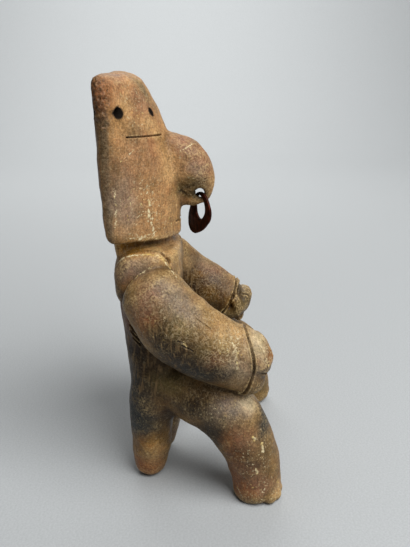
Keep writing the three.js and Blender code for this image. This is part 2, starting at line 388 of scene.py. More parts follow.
legs = front_leg(-1, 34, 0, 1, 4) + front_leg(1, 55, 4.4, 0.84, 6.4)
legs.append(rear_leg("right_rear_leg", -21, 5, (23.4, 10.9), (24.2, 9.9), (25.2, 8.7)))
legs.append(rear_leg("left_rear_leg", 9.8, -3.4, (21.8, 12.3), (21.4, 11.8), (21.8, 9.6), flatten=0.88))


# The clay figure as one piece: the lumps are pressed together and the joins between trunk and legs are
# smoothed over with a wet thumb, while shoulders, hands and face keep their creases.
bpy.ops.object.select_all(action="DESELECT")
for lump in [trunk, head, neck, nose, *arms, *legs]:
    lump.select_set(True)
bpy.context.view_layer.objects.active = trunk
bpy.ops.object.join()
figure = bpy.context.object
figure.name = "clay_figure_surface"
bpy.ops.object.transform_apply(location=True, rotation=True, scale=True)


def take_up(piece):
    """Selects that piece alone and makes it the active one."""
    bpy.ops.object.select_all(action="DESELECT")
    piece.select_set(True)
    bpy.context.view_layer.objects.active = piece


def finish_with(kind, **settings):
    """Adds a modifier of that kind to the active piece and applies it."""
    step = bpy.context.object.modifiers.new(kind.lower(), kind)
    for key, value in settings.items():
        setattr(step, key, value)
    bpy.ops.object.modifier_apply(modifier=step.name)


finish_with("REMESH", mode="VOXEL", voxel_size=0.0008, adaptivity=0)


def spots_of(piece):
    """The places of all its points, in millimetres from the figure's middle."""
    flat = np.empty(len(piece.data.vertices) * 3)
    piece.data.vertices.foreach_get("co", flat)
    return flat.reshape(-1, 3) * 1000 - np.array(FIGURE_MIDDLE)


def outward_of(piece):
    flat = np.empty(len(piece.data.vertices) * 3)
    piece.data.vertex_normals.foreach_get("vector", flat)
    return flat.reshape(-1, 3)


def put_back(piece, spots):
    flat = ((spots + np.array(FIGURE_MIDDLE)) * 0.001).ravel()
    piece.data.vertices.foreach_set("co", flat)
    piece.data.update()


def ramp(values, low, high):
    share = np.clip((values - low) / (high - low), 0, 1)
    return share * share * (3 - 2 * share)


def mark(piece, name, weights):
    """Adds a vertex group with those weights, in twenty steps."""
    group = piece.vertex_groups.new(name=name)
    steps = np.round(weights * 20).astype(int)
    for step in range(1, 21):
        group.add(np.flatnonzero(steps == step).tolist(), step / 20, "REPLACE")


def soft_ball(spots, middle, radius):
    """1 in the middle of a soft ball, falling to 0 outside it."""
    return np.exp(-(np.linalg.norm((spots - middle) / radius, axis=1) ** 4))


spots = spots_of(figure)
hands = np.maximum(soft_ball(spots, [-35, -28, 73], 15), soft_ball(spots, [35, -23, 72], 14))
hips_and_thighs = (1 - ramp(spots[:, 2], 60, 72)) * ramp(spots[:, 2], 24, 34)
mark(figure, "thumbed", hips_and_thighs * (1 - hands))
finish_with("SMOOTH", factor=0.5, iterations=33, vertex_group="thumbed")
# The nose grows out of the face without a crease, and the head's side edges are rubbed round.
rubbed = soft_ball(spots, [0, 13.5, 158], [17, 9.5, 23])
side_edges = 0.6 * ramp(np.abs(spots[:, 0]), 27, 31) * ramp(spots[:, 2], 134, 138)
toes = 1 - ramp(spots[:, 2], 7, 11)
mark(figure, "rubbed", np.maximum(np.maximum(rubbed, side_edges), 0.1 * toes))
finish_with("SMOOTH", factor=0.5, iterations=27, vertex_group="rubbed")
finish_with("SMOOTH", factor=0.5, iterations=4)

# Uneven from the fingers that rolled and pressed it, in long soft dents and shorter ones.
for grain, depth in ((0.017, 0.0016), (0.006, 0.0005)):
    dents = bpy.data.textures.new(f"dents_{grain}", "CLOUDS")
    dents.noise_scale = grain
    dents.noise_depth = 1
    finish_with("DISPLACE", texture=dents, texture_coords="LOCAL", strength=depth, mid_level=0.5)

# Holes pushed through with a round stick while the clay was soft: four in the head, and the one for the
# ring, which is widest on the outside.
def stick(name, spot, radii, length, turn):
    bpy.ops.object.select_all(action="DESELECT")
    bpy.ops.mesh.primitive_cylinder_add(vertices=32, radius=0.001, depth=length * 0.001, location=(0, 0, 0))
    cutter = bpy.context.object
    cutter.name = name
    cutter.scale = (radii[0], radii[1], 1)
    cutter.rotation_euler = turn
    cutter.location = place(*spot)
    bpy.ops.object.transform_apply(location=True, rotation=True, scale=True)
    return cutter


# Ear and brow holes are (out from the middle, height, radius), and the ring's hole is (front to back, height).
EAR_HOLE = (29.4, 185.2, 2.1)
BROW_HOLE = (11, 184.1, 1.5)
RING_HOLE = (-1, 146.2)
RING_HOLE_RADIUS = 1.9
narrow = (RING_HOLE_RADIUS, RING_HOLE_RADIUS)
cutters = []
for side in (-1, 1):
    along_y = (math.radians(90), 0, 0)
    cutters.append(stick("ear_hole", (side * EAR_HOLE[0], 30, EAR_HOLE[1]), (2.0, 2.3), 44, along_y))
    cutters.append(stick("brow_hole", (side * BROW_HOLE[0], 30, BROW_HOLE[1]), (1.1, 1.8), 44, along_y))
    wide = stick("ring_hole", (side * 5.4, *RING_HOLE), narrow, 12, (0, math.radians(side * 90), 0))
    bpy.ops.object.mode_set(mode="EDIT")
    pick(lambda p: abs(p.x) > 6)
    bpy.ops.transform.resize(value=(1, 2.6, 2.6), center_override=place(side * 11.4, *RING_HOLE))
    bpy.ops.object.mode_set(mode="OBJECT")
    cutters.append(wide)
cutters.append(stick("ring_hole", (0, *RING_HOLE), narrow, 6, (0, math.radians(90), 0)))
for cutter in cutters:
    take_up(figure)
    finish_with("BOOLEAN", operation="DIFFERENCE", object=cutter, solver="EXACT")
    bpy.data.objects.remove(cutter)


# Lines drawn and pressed into the clay with a pointed tool. The skin near every line is divided finely
# enough first, then sinks along it and rises a little on either side.
def line_through(points, step=0.25):
    """Points a small step apart along straight stretches between the given ones."""
    spaced = []
    for a, b in zip(points, points[1:]):
        a, b = np.array(a, float), np.array(b, float)
        count = max(2, int(np.linalg.norm(b - a) / step))
        spaced += [a + (b - a) * i / count for i in range(count)]
    return np.array(spaced + [np.array(points[-1], float)])


def distance_to(spots, line, reach):
    """How far each point is from the line, or a large number where that is more than reach."""
    best = np.full(len(spots), 1e9)
    close = np.flatnonzero(((spots > line.min(0) - reach) & (spots < line.max(0) + reach)).all(axis=1))
    for start in range(0, len(line), 64):
        part = line[start : start + 64]
        gap = np.linalg.norm(spots[close, None, :] - part[None, :, :], axis=2)
        best[close] = np.minimum(best[close], gap.min(axis=1))
    return best


def on_skin(points, towards):
    """The points moved along a direction until they touch the figure's skin."""
    landed = []
    for point in points:
        hit, where, *_ = figure.ray_cast(place(*point), Vector(towards))
        if hit:
            landed.append(tuple(where * 1000 - FIGURE_MIDDLE))
    return landed


def refine(close, cuts):
    """Divides the faces that have a point marked close."""
    corner = np.empty(len(figure.data.loops), int)
    figure.data.loops.foreach_get("vertex_index", corner)
    starts = np.empty(len(figure.data.polygons), int)
    figure.data.polygons.foreach_get("loop_start", starts)
    bpy.ops.object.mode_set(mode="EDIT")
    bpy.ops.mesh.select_mode(type="FACE")
    bpy.ops.mesh.select_all(action="DESELECT")
    bpy.ops.object.mode_set(mode="OBJECT")
    figure.data.polygons.foreach_set("select", np.add.reduceat(close[corner].astype(int), starts) > 0)
    bpy.ops.object.mode_set(mode="EDIT")
    bpy.ops.mesh.subdivide(number_cuts=cuts, smoothness=0.0)
    bpy.ops.mesh.select_mode(type="VERT")
    bpy.ops.object.mode_set(mode="OBJECT")


bpy.context.view_layer.update()
strokes = []
for side in (-1, 1):
    eye = [(side * (27.8 - 1.6 * i), 5, 175.2 - 0.09 * i) for i in range(13)]
    strokes.append((on_skin(eye, (0, 1, 0)), 0.3, 1.2, 0.12))
mouth = [(-8 + i, -20, 134 + 0.15 * math.sin(2 * i)) for i in range(17)]
strokes.append((on_skin(mouth, (0, 1, 0)), 0.45, 1.2, 0.12))


def cuff(middle, dip, reach, bow):
    """A closed line round a wrist, no further out than reach, and further forward by bow on both sides than
    above and below."""
    forward = Vector((0, -math.cos(dip), -math.sin(dip)))
    up = Vector((0, -math.sin(dip), math.cos(dip)))
    line = []
    for i in range(73):
        turn = 2 * math.pi * i / 72
        ahead = forward * (bow * abs(math.cos(turn)) ** 1.4 - 2.2)
        outwards = Vector((math.cos(turn), 0, 0)) + up * math.sin(turn)
        hit, where, *_ = figure.ray_cast(place(*(middle + ahead + outwards * 30)), -outwards)
        spot = where * 1000 - FIGURE_MIDDLE
        if hit and (spot - middle).length < reach:
            line.append(tuple(spot))
    return line


wrists = [
    cuff(Vector((-34.7, -21.6, 77)), dip=0.1, reach=19, bow=5.4),
    cuff(Vector((34.7, -14.8, 77.4)), dip=0.6, reach=19, bow=2.6),
]
strokes.append((wrists[0], 0.52, 1.3, 0.5))
strokes.append((wrists[1], 0.5, 1.0, 0.45))

# The fingers are parted by three lines over the fist.
for side, y, top, low in ((-1, -60, 87, 71), (1, -50, 84, 69)):
    for aside in (-3.4, 1.8, 6.6):
        knuckles = [(side * (34.7 - aside), y, top - (top - low) * i / 14) for i in range(15)]
        strokes.append((on_skin(knuckles, (0, 1, 0)), 0.5, 1.1, 0.2))

# Cuts and cracks in the right arm and below the armpit, a tuck at the thumb and a nick below the nose, all
# pressed in from the right and a little from above.
IN_AND_DOWN = Vector((0.94, 0, -0.34))


def from_right(x, points):
    """Where lines of sight from the right and a little above, through (y, z) at that x, meet the skin."""
    return on_skin([tuple(Vector((x, y, z)) - IN_AND_DOWN * 40) for y, z in points], IN_AND_DOWN)


for x, start, end, width, depth in (
    (-24, (31.8, 88.4), (28.6, 84.3), 0.5, 1.1),
    (-24, (31.4, 85.3), (27.8, 81.2), 0.5, 1.1),
    (-24, (30.2, 81.7), (27, 78.5), 0.45, 0.9),
    (-49, (0.4, 102.8), (-5.9, 98), 0.2, 0.4),
    (-50, (6.4, 90.9), (1.7, 88.3), 0.3, 0.5),
    (-50, (8.1, 93), (5.5, 92.1), 0.3, 0.4),
    (-42, (-30.8, 72.6), (-28.6, 73.4), 0.5, 1.0),
    (-40, (-31.6, 77.6), (-30.6, 74.2), 0.4, 0.6),
    (-6, (10, 133.4), (8.2, 134.9), 0.3, 0.8),
):
    stroke = [(start[0] + (end[0] - start[0]) * i / 8, start[1] + (end[1] - start[1]) * i / 8) for i in range(9)]
    strokes.append((from_right(x, stroke), width, depth, 0.15))
# A notch between each shoulder cap and the chest, and two pits in the left fist.
for side in (-1, 1):
    notch = [(side * 23.5, 15.4 - 0.5 * i, 135) for i in range(7)]
    strokes.append((on_skin(notch, (0, 0, -1)), 0.9, 2.4, 0.1))
for y, z in ((-19.1, 83.7), (-26.4, 86.2)):
    strokes.append((on_skin([(0, y, z), (0, y + 0.5, z - 0.9)], (1, 0, 0)), 0.9, 1.5, 0.2))

strokes = [(line_through(points), width, depth, rim) for points, width, depth, rim in strokes if len(points) > 1]
eye_and_mouth_lines = [line for line, *_ in strokes[:3]]
right_wrist_line, left_wrist_line = [line for line, *_ in strokes[3:5]]
spots = spots_of(figure)
close = np.zeros(len(spots), bool)
for line, width, _, _ in strokes:
    close |= distance_to(spots, line, 2.2 * width + 0.4) < 2.2 * width + 0.4
refine(close, 2)
spots = spots_of(figure)
outward = outward_of(figure)
for line, width, depth, rim in strokes:
    gap = distance_to(spots, line, 5 * width)
    sink = -depth * np.exp(-((gap / width) ** 2)) + rim * np.exp(-(((gap - 2 * width) / width) ** 2))
    spots += outward * sink[:, None]
put_back(figure, spots)

# A worn patch on the head's right edge, where the skin is gone and the grit below is ridged and pitted.
patch = line_through([(-33, 38.5, 197), (-34, 38, 190), (-34, 38.5, 184)])
refine(distance_to(spots, patch, 8) < 7, 1)
spots = spots_of(figure)
mark(figure, "worn", 1 - ramp(distance_to(spots, patch, 8), 3.5, 6.5))
for grain, depth in ((0.0019, 0.0013), (0.0009, 0.0006)):
    grit = bpy.data.textures.new(f"grit_{grain}", "CLOUDS")
    grit.noise_scale = grain
    grit.noise_depth = 1
    finish_with("DISPLACE", texture=grit, texture_coords="LOCAL", strength=depth, mid_level=0.6, vertex_group="worn")

# Fewer, larger faces where the skin is smooth or turned away from the right side.
MOST_TRIANGLES = 194000
triangles = sum(len(face.vertices) - 2 for face in figure.data.polygons)
mark(figure, "plain", np.clip(0.55 + 0.45 * outward_of(figure)[:, 0], 0.1, 1))
finish_with("DECIMATE", ratio=MOST_TRIANGLES / triangles, vertex_group="plain", vertex_group_factor=0.9)

# Where a hole's wall was left open by that, the faulty points are taken out and the skin is filled again.
bpy.ops.object.mode_set(mode="EDIT")
bpy.ops.mesh.select_mode(type="VERT")
bpy.ops.mesh.select_all(action="DESELECT")
bpy.ops.mesh.select_non_manifold()
bpy.ops.mesh.delete(type="VERT")
bpy.ops.mesh.select_all(action="DESELECT")
bpy.ops.mesh.select_non_manifold()
bpy.ops.mesh.fill_holes(sides=0)
bpy.ops.mesh.select_all(action="SELECT")
bpy.ops.mesh.delete_loose(use_verts=True, use_edges=True, use_faces=False)
end_editing()

# The soles are flat where the figure stood while the clay was soft.
spots = spots_of(figure)
spots[:, 2] = np.maximum(spots[:, 2], 0)
put_back(figure, spots)


# Burnished earthenware: coarse low-fired clay rubbed with a pebble, so it is satin where it stands out. The
# open fire left it tan to brick red with blue-black smoke clouds, and burial left cream and yellow crusts.
# The clouds are painted on the points, one soft patch over another; noise in the material does the rest.
def colour(hex_text):
    """sRGB hex to linear."""
    parts = [int(hex_text[i : i + 2], 16) / 255 for i in (0, 2, 4)]
    return [*[p / 12.92 if p <= 0.04045 else ((p + 0.055) / 1.055) ** 2.4 for p in parts], 1.0]


def paint(name, values):
    layer = figure.data.attributes.new(name, "FLOAT", "POINT")
    layer.data.foreach_set("value", np.clip(values, 0, 1).astype(np.float32))


spots = spots_of(figure)
outward = outward_of(figure)
# The patches have wandering borders: every place is shifted by a few slow waves before it is looked up.
wander = spots.copy()
for axis, (a, b) in enumerate(((1, 2), (2, 0), (0, 1))):
    wander[:, axis] += 1.6 * np.sin(spots[:, a] * 0.31 + 1.7 * axis) * np.cos(spots[:, b] * 0.23)
    wander[:, axis] += 0.9 * np.sin(spots[:, b] * 0.83 + axis) * np.cos(spots[:, a] * 0.71)

TONES = {
    "tan": "AA8052",
    "blush": "AC7C58",
    "buff": "C29C6A",
    "pale": "DCC8A4",
    "olive": "716238",
    "gold": "98691C",
    "mauve": "825B48",
    "slate": "746A60",
    "rust": "744222",
    "brick": "96582C",
    "umber": "382612",
    "grey": "544938",
    "smoke": "262B2C",
    "char": "22180C",
}
firing = np.tile(np.array(colour(TONES["tan"])), (len(spots), 1))


def fire(tone, share):
    global firing
    share = np.clip(share, 0, 1)[:, None]
    firing = firing * (1 - share) + np.array(colour(TONES[tone])) * share


def cloud(tone, middle, radius, strength):
    fire(tone, strength * np.exp(-(np.linalg.norm((wander - middle) / radius, axis=1) ** 3)))


# The ground tone is browner low down, darkest on the trunk and darker on the head's back; the head's side edges get
# painted shade.
x, y, z = spots.T
trunk_side = ramp(z, 34, 46) * (1 - ramp(z, 100, 116)) * ramp(y, -8, 6)
head_edge_shade = ramp(np.abs(outward[:, 0]), 0.7, 0.95) * ramp(z, 124, 130) * ramp(y, 31, 36)
fire("olive", 0.45 * (1 - ramp(z, 118, 126)))
fire("umber", 0.35 * (1 - ramp(z, 60, 100)))
fire("umber", 0.9 * trunk_side * (1 - 0.9 * ramp(np.abs(x), 30, 34)))
# Painted shade on the head's side edges, which face away from the light.
fire("grey", 0.75 * head_edge_shade)
fire("umber", 0.5 * ramp(y, 38, 41) * ramp(z, 124, 130))
for tone, middle, radius, strength in (
    # head
    ("umber", (-34, 36, 160), (3, 3.4, 22), 0.5),
    ("blush", (-20, 28, 196), (18, 14, 9), 0.5),
    ("blush", (-22, 26, 152), (12, 14, 22), 0.2),
    ("mauve", (-26, 33, 200), (12, 8, 4), 0.45),
    ("olive", (-7, 25, 195), (6, 9, 6), 0.65),
    ("buff", (-24, 29, 190), (5, 6, 5), 0.4),
    ("buff", (-15, 21, 179), (4, 5, 5), 0.6),
    ("rust", (-34, 38, 193), (6, 7, 8), 0.75),
    ("umber", (-35, 39, 183), (5, 5, 7), 0.5),
    ("mauve", (-15, 24, 187), (7, 8, 6), 0.6),
    ("grey", (-6, 22, 189), (5, 6, 7), 0.35),
    ("grey", (-25, 27, 179), (4.5, 5, 6), 0.45),
    ("mauve", (-22, 25, 171), (9, 9, 6), 0.35),
    ("mauve", (-29, 30, 160), (7, 7, 9), 0.35),
    ("slate", (-31, 31, 147), (6, 8, 14), 0.6),
    ("buff", (-12, 11, 160), (6, 6, 12), 0.5),
    ("buff", (-12, 12, 138), (6, 6, 8), 0.35),
    ("mauve", (-20, 20, 163), (6, 7, 6), 0.3),
    ("mauve", (-4, 5, 169), (12, 9, 5), 0.85),
    ("mauve", (-8, -3, 161), (12, 9, 7), 0.75),
    ("slate", (-9, 0, 159), (5, 4, 4), 0.4),
    ("umber", (-9, 0, 154.6), (6, 8, 1.8), 0.7),
    ("olive", (-7, 4, 149), (9, 8, 6), 0.9),
    ("char", (-7.5, 5, 151), (3, 1.3, 1.1), 0.8),
    ("char", (-8, 1.4, 152.6), (3, 1.6, 1), 0.7),
    ("char", (-5, 7.6, 147), (4, 1.3, 1.6), 0.8),
    ("char", (-4, 3, 148.8), (4, 1.4, 1.1), 0.8),
    ("buff", (-7, 3, 150.4), (3, 1.3, 1), 0.8),
    ("buff", (-5.6, 5.4, 148.4), (3, 1.2, 1), 0.7),
    ("buff", (-4, 8.6, 144.6), (4, 1.2, 2), 0.6),
    ("buff", (-6, 0.4, 150), (3, 1, 1), 0.6),
    ("umber", (-4, 6, 146.6), (5, 1.8, 1.6), 0.6),
    ("umber", (-3, -4, 144), (5, 3, 2), 0.6),
    ("char", (-1, 6, 141), (4, 5, 1.6), 0.7),
    # neck, cap and chest
    ("gold", (-26, 32, 127.6), (12, 12, 4), 0.97),
    ("olive", (-18, 18, 127), (12, 9, 4), 0.5),
    ("mauve", (-30, 33, 116), (7, 7, 9), 0.4),
    ("umber", (-33, 34, 106), (9, 4, 8), 0.8),
    ("gold", (-34, 31, 110), (4, 4, 5), 0.45),
    ("buff", (-14, 10, 116), (14, 7, 8), 0.4),
    # right arm
    ("mauve", (-31, 31, 117), (6, 9, 6), 0.35),
    ("slate", (-31, 28, 119), (6, 9, 6), 0.5),
    ("slate", (-43, 12, 112), (9, 12, 8), 0.6),
    ("mauve", (-46, 22, 108), (9, 8, 9), 0.75),
    ("rust", (-47, 21, 98), (8, 6, 7), 0.6),
    ("slate", (-48, 6, 104), (8, 9, 7), 0.6),
    ("olive", (-49, 8, 97), (7, 8, 6), 0.75),
    ("umber", (-50, 0, 93), (7, 8, 5), 0.45),
    ("char", (-50, 17, 94.5), (6, 5.4, 6), 0.95),
    ("char", (-50, 10, 88), (8, 11, 8), 0.98),
    ("char", (-50, 1, 82), (9, 14, 8), 0.95),
    ("char", (-48, -6, 75), (10, 13, 6), 0.9),
    ("smoke", (-42, 8, 76), (14, 15, 7), 0.85),
    ("olive", (-50, -8, 88), (8, 9, 6), 0.6),
    ("mauve", (-50, -8, 84), (7, 6, 4), 0.4),
    ("umber", (-50, 14, 99), (8, 6, 5), 0.4),
    ("umber", (-50, -1, 89), (8, 8, 5), 0.35),
    ("umber", (-49, 8, 84), (8, 12, 6), 0.3),
    ("umber", (-47, -17, 72), (8, 8, 5), 0.4),
    ("buff", (-42, -13, 93), (12, 8, 5), 0.5),
    ("slate", (-46, -18, 78), (9, 7, 8), 0.5),
    ("buff", (-46, -18, 70), (9, 5, 5), 0.35),
    # right hand
    ("pale", (-40, -27, 88), (10, 6, 5), 0.6),
    ("slate", (-43, -28, 79), (7, 6, 6), 0.6),
    ("brick", (-37, -35, 82), (8, 3, 6), 0.5),
    ("grey", (-37, -33, 74), (6, 3, 4), 0.8),
    ("umber", (-41, -29, 68), (12, 8, 7), 0.55),
    # hips and back
    ("char", (-26, 32, 78), (12, 8, 16), 0.7),
    ("rust", (-19, 35, 97), (9, 6, 16), 0.75),
    ("smoke", (-26, 34, 50), (16, 7, 20), 0.97),
    ("smoke", (-31, 26, 50), (8, 7, 11), 0.7),
    ("char", (-32, 28, 44), (8, 7, 9), 0.6),
    ("olive", (-32, 14, 62), (8, 10, 5), 0.7),
    ("char", (-41, -1, 56), (9, 12, 6), 0.7),
    ("char", (-39, 4, 53), (12, 13, 6), 0.8),
    ("slate", (-44, -15, 56), (9, 8, 5), 0.7),
    ("umber", (-42, -8, 61), (10, 9, 3), 0.7),
    # front legs
    ("slate", (-45, -10, 50), (8, 9, 7), 0.5),
    ("pale", (-40, -24, 57), (8, 5, 4.4), 0.75),
    ("smoke", (-39, -31, 46), (9, 4.6, 9), 0.93),
    ("char", (-43, -7, 41), (10, 8, 9), 0.93),
    ("rust", (-47, -16, 37), (9, 5, 10), 0.6),
    ("mauve", (-48, -22, 41), (8, 6, 8), 0.5),
    ("umber", (-46, -22, 30), (9, 8, 7), 0.6),
    ("rust", (-44, -18, 20), (12, 6, 14), 0.6),
    ("mauve", (-48, -27, 20), (8, 8, 10), 0.45),
    ("mauve", (-48, -28, 13), (10, 10, 6), 0.6),
    ("brick", (-40, -20, 9), (12, 7, 8), 0.5),
    ("buff", (-40, -40, 8), (12, 5, 6), 0.7),
    ("smoke", (36, -6, 54), (12, 12, 9), 0.6),
    ("rust", (44, -24, 28), (12, 11, 14), 0.6),
    ("rust", (60, -26, 28), (10, 9, 13), 0.5),
    ("slate", (55, -14, 47), (9, 9, 8), 0.5),
    ("brick", (62, -34, 9), (10, 12, 8), 0.5),
    ("olive", (50, -32, 12), (12, 12, 9), 0.6),
    # rear legs
    ("smoke", (-27, 29, 37), (11, 12, 10), 0.92),
    ("gold", (-28, 22, 25), (10, 12, 7), 0.6),
    ("buff", (-28, 22, 19), (7, 7, 8), 0.35),
    ("umber", (-24, 14, 30), (14, 6, 14), 0.7),
    ("brick", (-25, 28, 7), (12, 11, 9), 0.85),
    ("smoke", (16, 30, 40), (11, 12, 10), 0.6),
    ("brick", (12, 30, 7), (10, 10, 8), 0.6),
    ("umber", (7, 16, 30), (12, 12, 18), 0.6),
    ("slate", (6, 14, 12), (10, 10, 8), 0.5),
    # left arm
    ("slate", (31, -4, 100), (10, 14, 7), 0.4),
    ("mauve", (28, -9, 94), (8, 12, 7), 0.8),
    ("grey", (27, -8, 92), (7, 14, 5), 0.7),
    ("umber", (23, 3, 91), (6, 8, 8), 0.8),
    ("gold", (22, 1, 94), (5, 8, 3), 0.7),
    ("umber", (22, -3, 87), (7, 11, 6), 0.95),
    ("umber", (23, -13, 82), (7, 8, 6), 0.85),
    ("gold", (23, -17, 80), (5, 4, 5), 0.7),
    ("char", (21, 1, 91), (4, 8, 5), 0.5),
    ("umber", (21, 5, 97), (4, 6, 4), 0.4),
    ("buff", (22, 7, 104), (4, 5, 5), 0.75),
    ("gold", (22, -7, 86), (4, 6, 5), 0.4),
    ("umber", (23, -9, 77), (5, 8, 4), 0.55),
    ("olive", (23, -14, 74), (5, 6, 4), 0.5),
    ("grey", (28, -25, 81), (9, 7, 8), 0.8),
    ("olive", (23, -22, 75), (8, 6, 6), 0.5),
    ("smoke", (46, 4, 80), (14, 12, 8), 0.7),
    ("mauve", (46, 20, 105), (9, 9, 8), 0.6),
    ("rust", (49, 15, 95), (8, 8, 7), 0.5),
    # back of the head and body
    ("smoke", (24, 40, 150), (18, 9, 24), 0.6),
    ("mauve", (10, 42, 186), (14, 8, 14), 0.6),
    ("olive", (-10, 42, 160), (12, 8, 18), 0.5),
    ("smoke", (4, 36, 78), (16, 8, 20), 0.6),
):
    cloud(tone, middle, radius, strength)
    if middle[0] < -26:
        # The left side has much the same clouds, a little lower, and further out on the spread front leg.
        spread = 0.32 * max(0, 55 - middle[2]) if middle[1] < 0 else 0
        cloud(tone, (spread - middle[0], middle[1] + 4, middle[2] - 4), radius, 0.9 * strength)
# Painted shade on the left arm's inner side, where it turns down and away from the light, makes it darker than its
# top.
shaded_inner_side = ramp(x, 8, 14) * ramp(z, 62, 70) * (1 - ramp(z, 108, 116))
fire("umber", 0.35 * shaded_inner_side * ramp(-outward[:, 0] - outward[:, 2], -0.2, 0.7))
layer = figure.data.attributes.new("firing", "FLOAT_COLOR", "POINT")
layer.data.foreach_set("color", firing.astype(np.float32).ravel())


FINE_SPACING = 0.62


def hollow_of(piece, rounds):
    """How deep each point lies below the skin around it, in millimetres; below zero where it stands out.
    Points further apart than the fine spacing reach further round, so theirs is scaled down."""
    edges = np.empty(len(piece.data.edges) * 2, int)
    piece.data.edges.foreach_get("vertices", edges)
    a, b = edges.reshape(-1, 2).T
    ends, other = np.r_[a, b], np.r_[b, a]
    count = np.bincount(ends, minlength=len(spots))
    around = spots
    for _ in range(rounds):
        sums = [np.bincount(ends, weights=around[other, axis], minlength=len(spots)) for axis in range(3)]
        around = np.stack(sums, axis=1) / count[:, None]
    lengths = np.linalg.norm(spots[a] - spots[b], axis=1)
    spacing = np.bincount(ends, weights=np.r_[lengths, lengths], minlength=len(spots)) / count
    return ((around - spots) * outward).sum(axis=1) * np.minimum(1, (FINE_SPACING / spacing) ** 2)


# Creases are painted dark with painted shade and dirt, less so at the nose, under the chin and by the shoulder cap.
hollow = hollow_of(figure, 16)
at_nose = soft_ball(spots, [0, 12, 158], [17, 11, 22])
under_chin = soft_ball(spots, [0, 24, 124], [36, 22, 7])
by_cap = soft_ball(spots, [-33, 28, 110], [9, 13, 13])
crease_shade_and_dirt = ramp(hollow, 0.03, 0.28) * (1 - at_nose) * (1 - 0.7 * under_chin) * (1 - 0.55 * by_cap)
# A painted shadow line runs above the shoulder cap's rim, which is (front to back, height) as seen from the right.
cap_rim = [(35.7, 120.3), (34.5, 121.7), (32.5, 123.1), (27.5, 124.3), (21.8, 124.6), (17.4, 124), (15.6, 122.6)]
cap_rim += [(13.9, 120.1), (11.3, 116.8), (9.1, 113.9)]
rim_shadow_line = line_through(from_right(-28, [(y_seen, z_seen + 1.7) for y_seen, z_seen in cap_rim[1:8]]))
crease_shade_and_dirt = np.maximum(crease_shade_and_dirt, 0.6 * (1 - ramp(distance_to(spots, rim_shadow_line, 2), 0.5, 1.3)))
paint("crease_shade_and_dirt", crease_shade_and_dirt)
# What stands out is rubbed paler, but less under smoke and not round the holes.
unsmoked = 0.25 + 0.75 * ramp(firing.mean(axis=1), 0.03, 0.14)
for out, height, _ in (EAR_HOLE, BROW_HOLE):
    unsmoked *= ramp(np.hypot(np.abs(x) - out, z - height), 3, 6)
paint("ridge", ramp(-hollow, 0.05, 0.4) * (1 - ramp(z, 126, 130) * ramp(np.abs(x), 26, 30)) * unsmoked)
# Painted shade on the skin that faces down.
paint("underside_shade", ramp(-outward[:, 2], 0.2, 0.9))
paint("scraped", trunk_side * ramp(z, 46, 64))
# Holes and drawn lines are painted dark inside: painted shade, and the dirt packed in them.
hole_shade_and_dirt = np.zeros(len(spots))
for out, height, radius in (EAR_HOLE, BROW_HOLE):
    across = np.hypot(np.abs(x) - out, z - height)
    hole_shade_and_dirt = np.maximum(hole_shade_and_dirt, 1 - ramp(across, radius + 0.1, radius + 0.7))
hole_shade_and_dirt *= ramp(z, 170, 175)
for line in eye_and_mouth_lines:
    hole_shade_and_dirt = np.maximum(hole_shade_and_dirt, 0.7 * (1 - ramp(distance_to(spots, line, 2), 0.1, 0.45)))
for line, strength in ((right_wrist_line, 0.65), (left_wrist_line, 0.4)):
    hole_shade_and_dirt = np.maximum(hole_shade_and_dirt, strength * (1 - ramp(distance_to(spots, line, 2), 0.35, 0.9)))
around_ring = np.linalg.norm(spots[:, 1:] - RING_HOLE, axis=1) + 10 * ramp(np.abs(x), 11, 13)
hole_shade_and_dirt = np.maximum(hole_shade_and_dirt, 0.6 * (1 - ramp(around_ring, 2.4, 4.5)) * (z < 153))
paint("hole", hole_shade_and_dirt)
